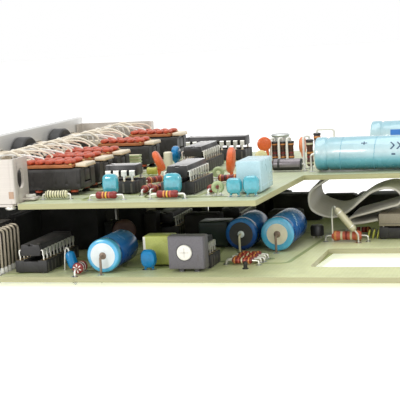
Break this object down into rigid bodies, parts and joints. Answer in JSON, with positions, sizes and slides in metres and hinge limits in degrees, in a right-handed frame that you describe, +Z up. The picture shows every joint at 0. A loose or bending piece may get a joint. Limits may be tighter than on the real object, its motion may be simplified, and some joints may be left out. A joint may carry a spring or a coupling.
{
  "type": "compressor module",
  "caption": "Rack compressor module: a front panel with push switches and knobs, two stacked circuit boards, capacitors, sockets, a trimmer and a ribbon cable.",
  "frame": {"origin": "middle of the front panel's bottom edge, in the panel's mid-plane, on the surface the module stands on", "axes": "+X from the panel along the boards to the rear, +Y from the near long edge of the boards to the far one, +Z up"},
  "size_m": [0.2173, 0.1334, 0.0403],
  "materials": {
    "panel_aluminium": "satin, light grey",
    "bracket_sheet": "plain sheet, cream-white on the outside",
    "zinc_steel": "plated",
    "board_laminate": "pale green laminate with lighter edges",
    "black_moulding": "black moulded body",
    "cream_plastic": "cream, slightly glossy",
    "brown_phenolic": "brown-orange plate under coral sleeves",
    "socket_plastic": "dark brown-black",
    "chip_epoxy": "dark grey epoxy with bright pins",
    "pale_cyan_sleeve": "pale cyan sleeve",
    "blue_sleeve": "blue sleeve",
    "pale_film_box": "pale blue box",
    "yellow_film_box": "yellow-green box",
    "dark_green_film_box": "dark green box",
    "trimmer_grey": "grey moulding",
    "white_plastic": "white rotor",
    "ribbon_grey": "grey ribbon cable",
    "wire_cream": "cream wire sleeves",
    "knob_grey": "dark grey knob"
  },
  "bodies": {
    "chassis": {"bent_pin_header": "black_moulding", "bracket_far": "bracket_sheet", "bracket_near": "bracket_sheet", "front_panel": "panel_aluminium", "lower_board": "board_laminate", "lower_capacitor_1": "blue_sleeve", "lower_capacitor_2": "blue_sleeve", "lower_capacitor_3": "blue_sleeve", "lower_far_left_chip": "chip_epoxy", "lower_far_left_socket": "socket_plastic", "lower_far_right_chip": "chip_epoxy", "lower_far_right_socket": "socket_plastic", "lower_film_capacitor_green": "dark_green_film_box", "lower_film_capacitor_yellow": "yellow_film_box", "lower_left_chip": "chip_epoxy", "lower_left_socket": "socket_plastic", "lower_middle_chip": "chip_epoxy", "lower_middle_socket": "socket_plastic", "pot_1_body": "black_moulding", "pot_2_body": "black_moulding", "power_diode": "black_moulding", "ribbon_cable": "ribbon_grey", "ribbon_plug": "ribbon_grey", "ribbon_socket": "socket_plastic", "spacer_front_far": "zinc_steel", "spacer_front_near": "zinc_steel", "spacer_rear_far": "zinc_steel", "spacer_rear_near": "zinc_steel", "switch_1_housing": "black_moulding", "switch_1_terminals": "brown_phenolic", "switch_2_housing": "black_moulding", "switch_2_terminals": "brown_phenolic", "switch_3_housing": "black_moulding", "switch_3_terminals": "brown_phenolic", "switch_4_housing": "black_moulding", "switch_4_terminals": "brown_phenolic", "switch_5_housing": "black_moulding", "switch_5_terminals": "brown_phenolic", "trimmer_body": "trimmer_grey", "upper_amplifier_chip": "chip_epoxy", "upper_amplifier_socket": "socket_plastic", "upper_big_capacitor": "pale_cyan_sleeve", "upper_board": "board_laminate", "upper_far_chip": "chip_epoxy", "upper_far_socket": "socket_plastic", "upper_film_capacitor": "pale_film_box", "upper_middle_chip": "chip_epoxy", "upper_middle_socket": "socket_plastic", "upper_near_chip": "chip_epoxy", "upper_near_socket": "socket_plastic", "upper_rear_capacitor": "pale_cyan_sleeve", "wire_loom": "wire_cream"},
    "pot_1_knob": {"pot_1_knob": "knob_grey"},
    "pot_2_knob": {"pot_2_knob": "knob_grey"},
    "switch_1_button": {"switch_1_button": "cream_plastic"},
    "switch_2_button": {"switch_2_button": "cream_plastic"},
    "switch_3_button": {"switch_3_button": "cream_plastic"},
    "switch_4_button": {"switch_4_button": "cream_plastic"},
    "switch_5_button": {"switch_5_button": "cream_plastic"},
    "trimmer_rotor": {"trimmer_rotor": "white_plastic"}
  },
  "joints": [
    {"name": "switch_1_press", "type": "slide", "parent": "chassis", "child": "switch_1_button", "axis": [1, 0, 0], "range_m": [0, 0.003], "stiffness_N_per_m": 300},
    {"name": "switch_2_press", "type": "slide", "parent": "chassis", "child": "switch_2_button", "axis": [1, 0, 0], "range_m": [0, 0.003], "stiffness_N_per_m": 300},
    {"name": "switch_3_press", "type": "slide", "parent": "chassis", "child": "switch_3_button", "axis": [1, 0, 0], "range_m": [0, 0.003], "stiffness_N_per_m": 300},
    {"name": "switch_4_press", "type": "slide", "parent": "chassis", "child": "switch_4_button", "axis": [1, 0, 0], "range_m": [0, 0.003], "stiffness_N_per_m": 300},
    {"name": "switch_5_press", "type": "slide", "parent": "chassis", "child": "switch_5_button", "axis": [1, 0, 0], "range_m": [0, 0.003], "stiffness_N_per_m": 300},
    {"name": "pot_1_turn", "type": "hinge", "parent": "chassis", "child": "pot_1_knob", "pos_m": [0, 0.0048, 0.0305], "axis": [1, 0, 0], "range_deg": [-150, 150]},
    {"name": "pot_2_turn", "type": "hinge", "parent": "chassis", "child": "pot_2_knob", "pos_m": [0, 0.0366, 0.0305], "axis": [1, 0, 0], "range_deg": [-150, 150]},
    {"name": "trimmer_turn", "type": "hinge", "parent": "chassis", "child": "trimmer_rotor", "pos_m": [0.08105, -0.0591, 0.009], "axis": [0, 1, 0], "range_deg": [-135, 135]}
  ]
}
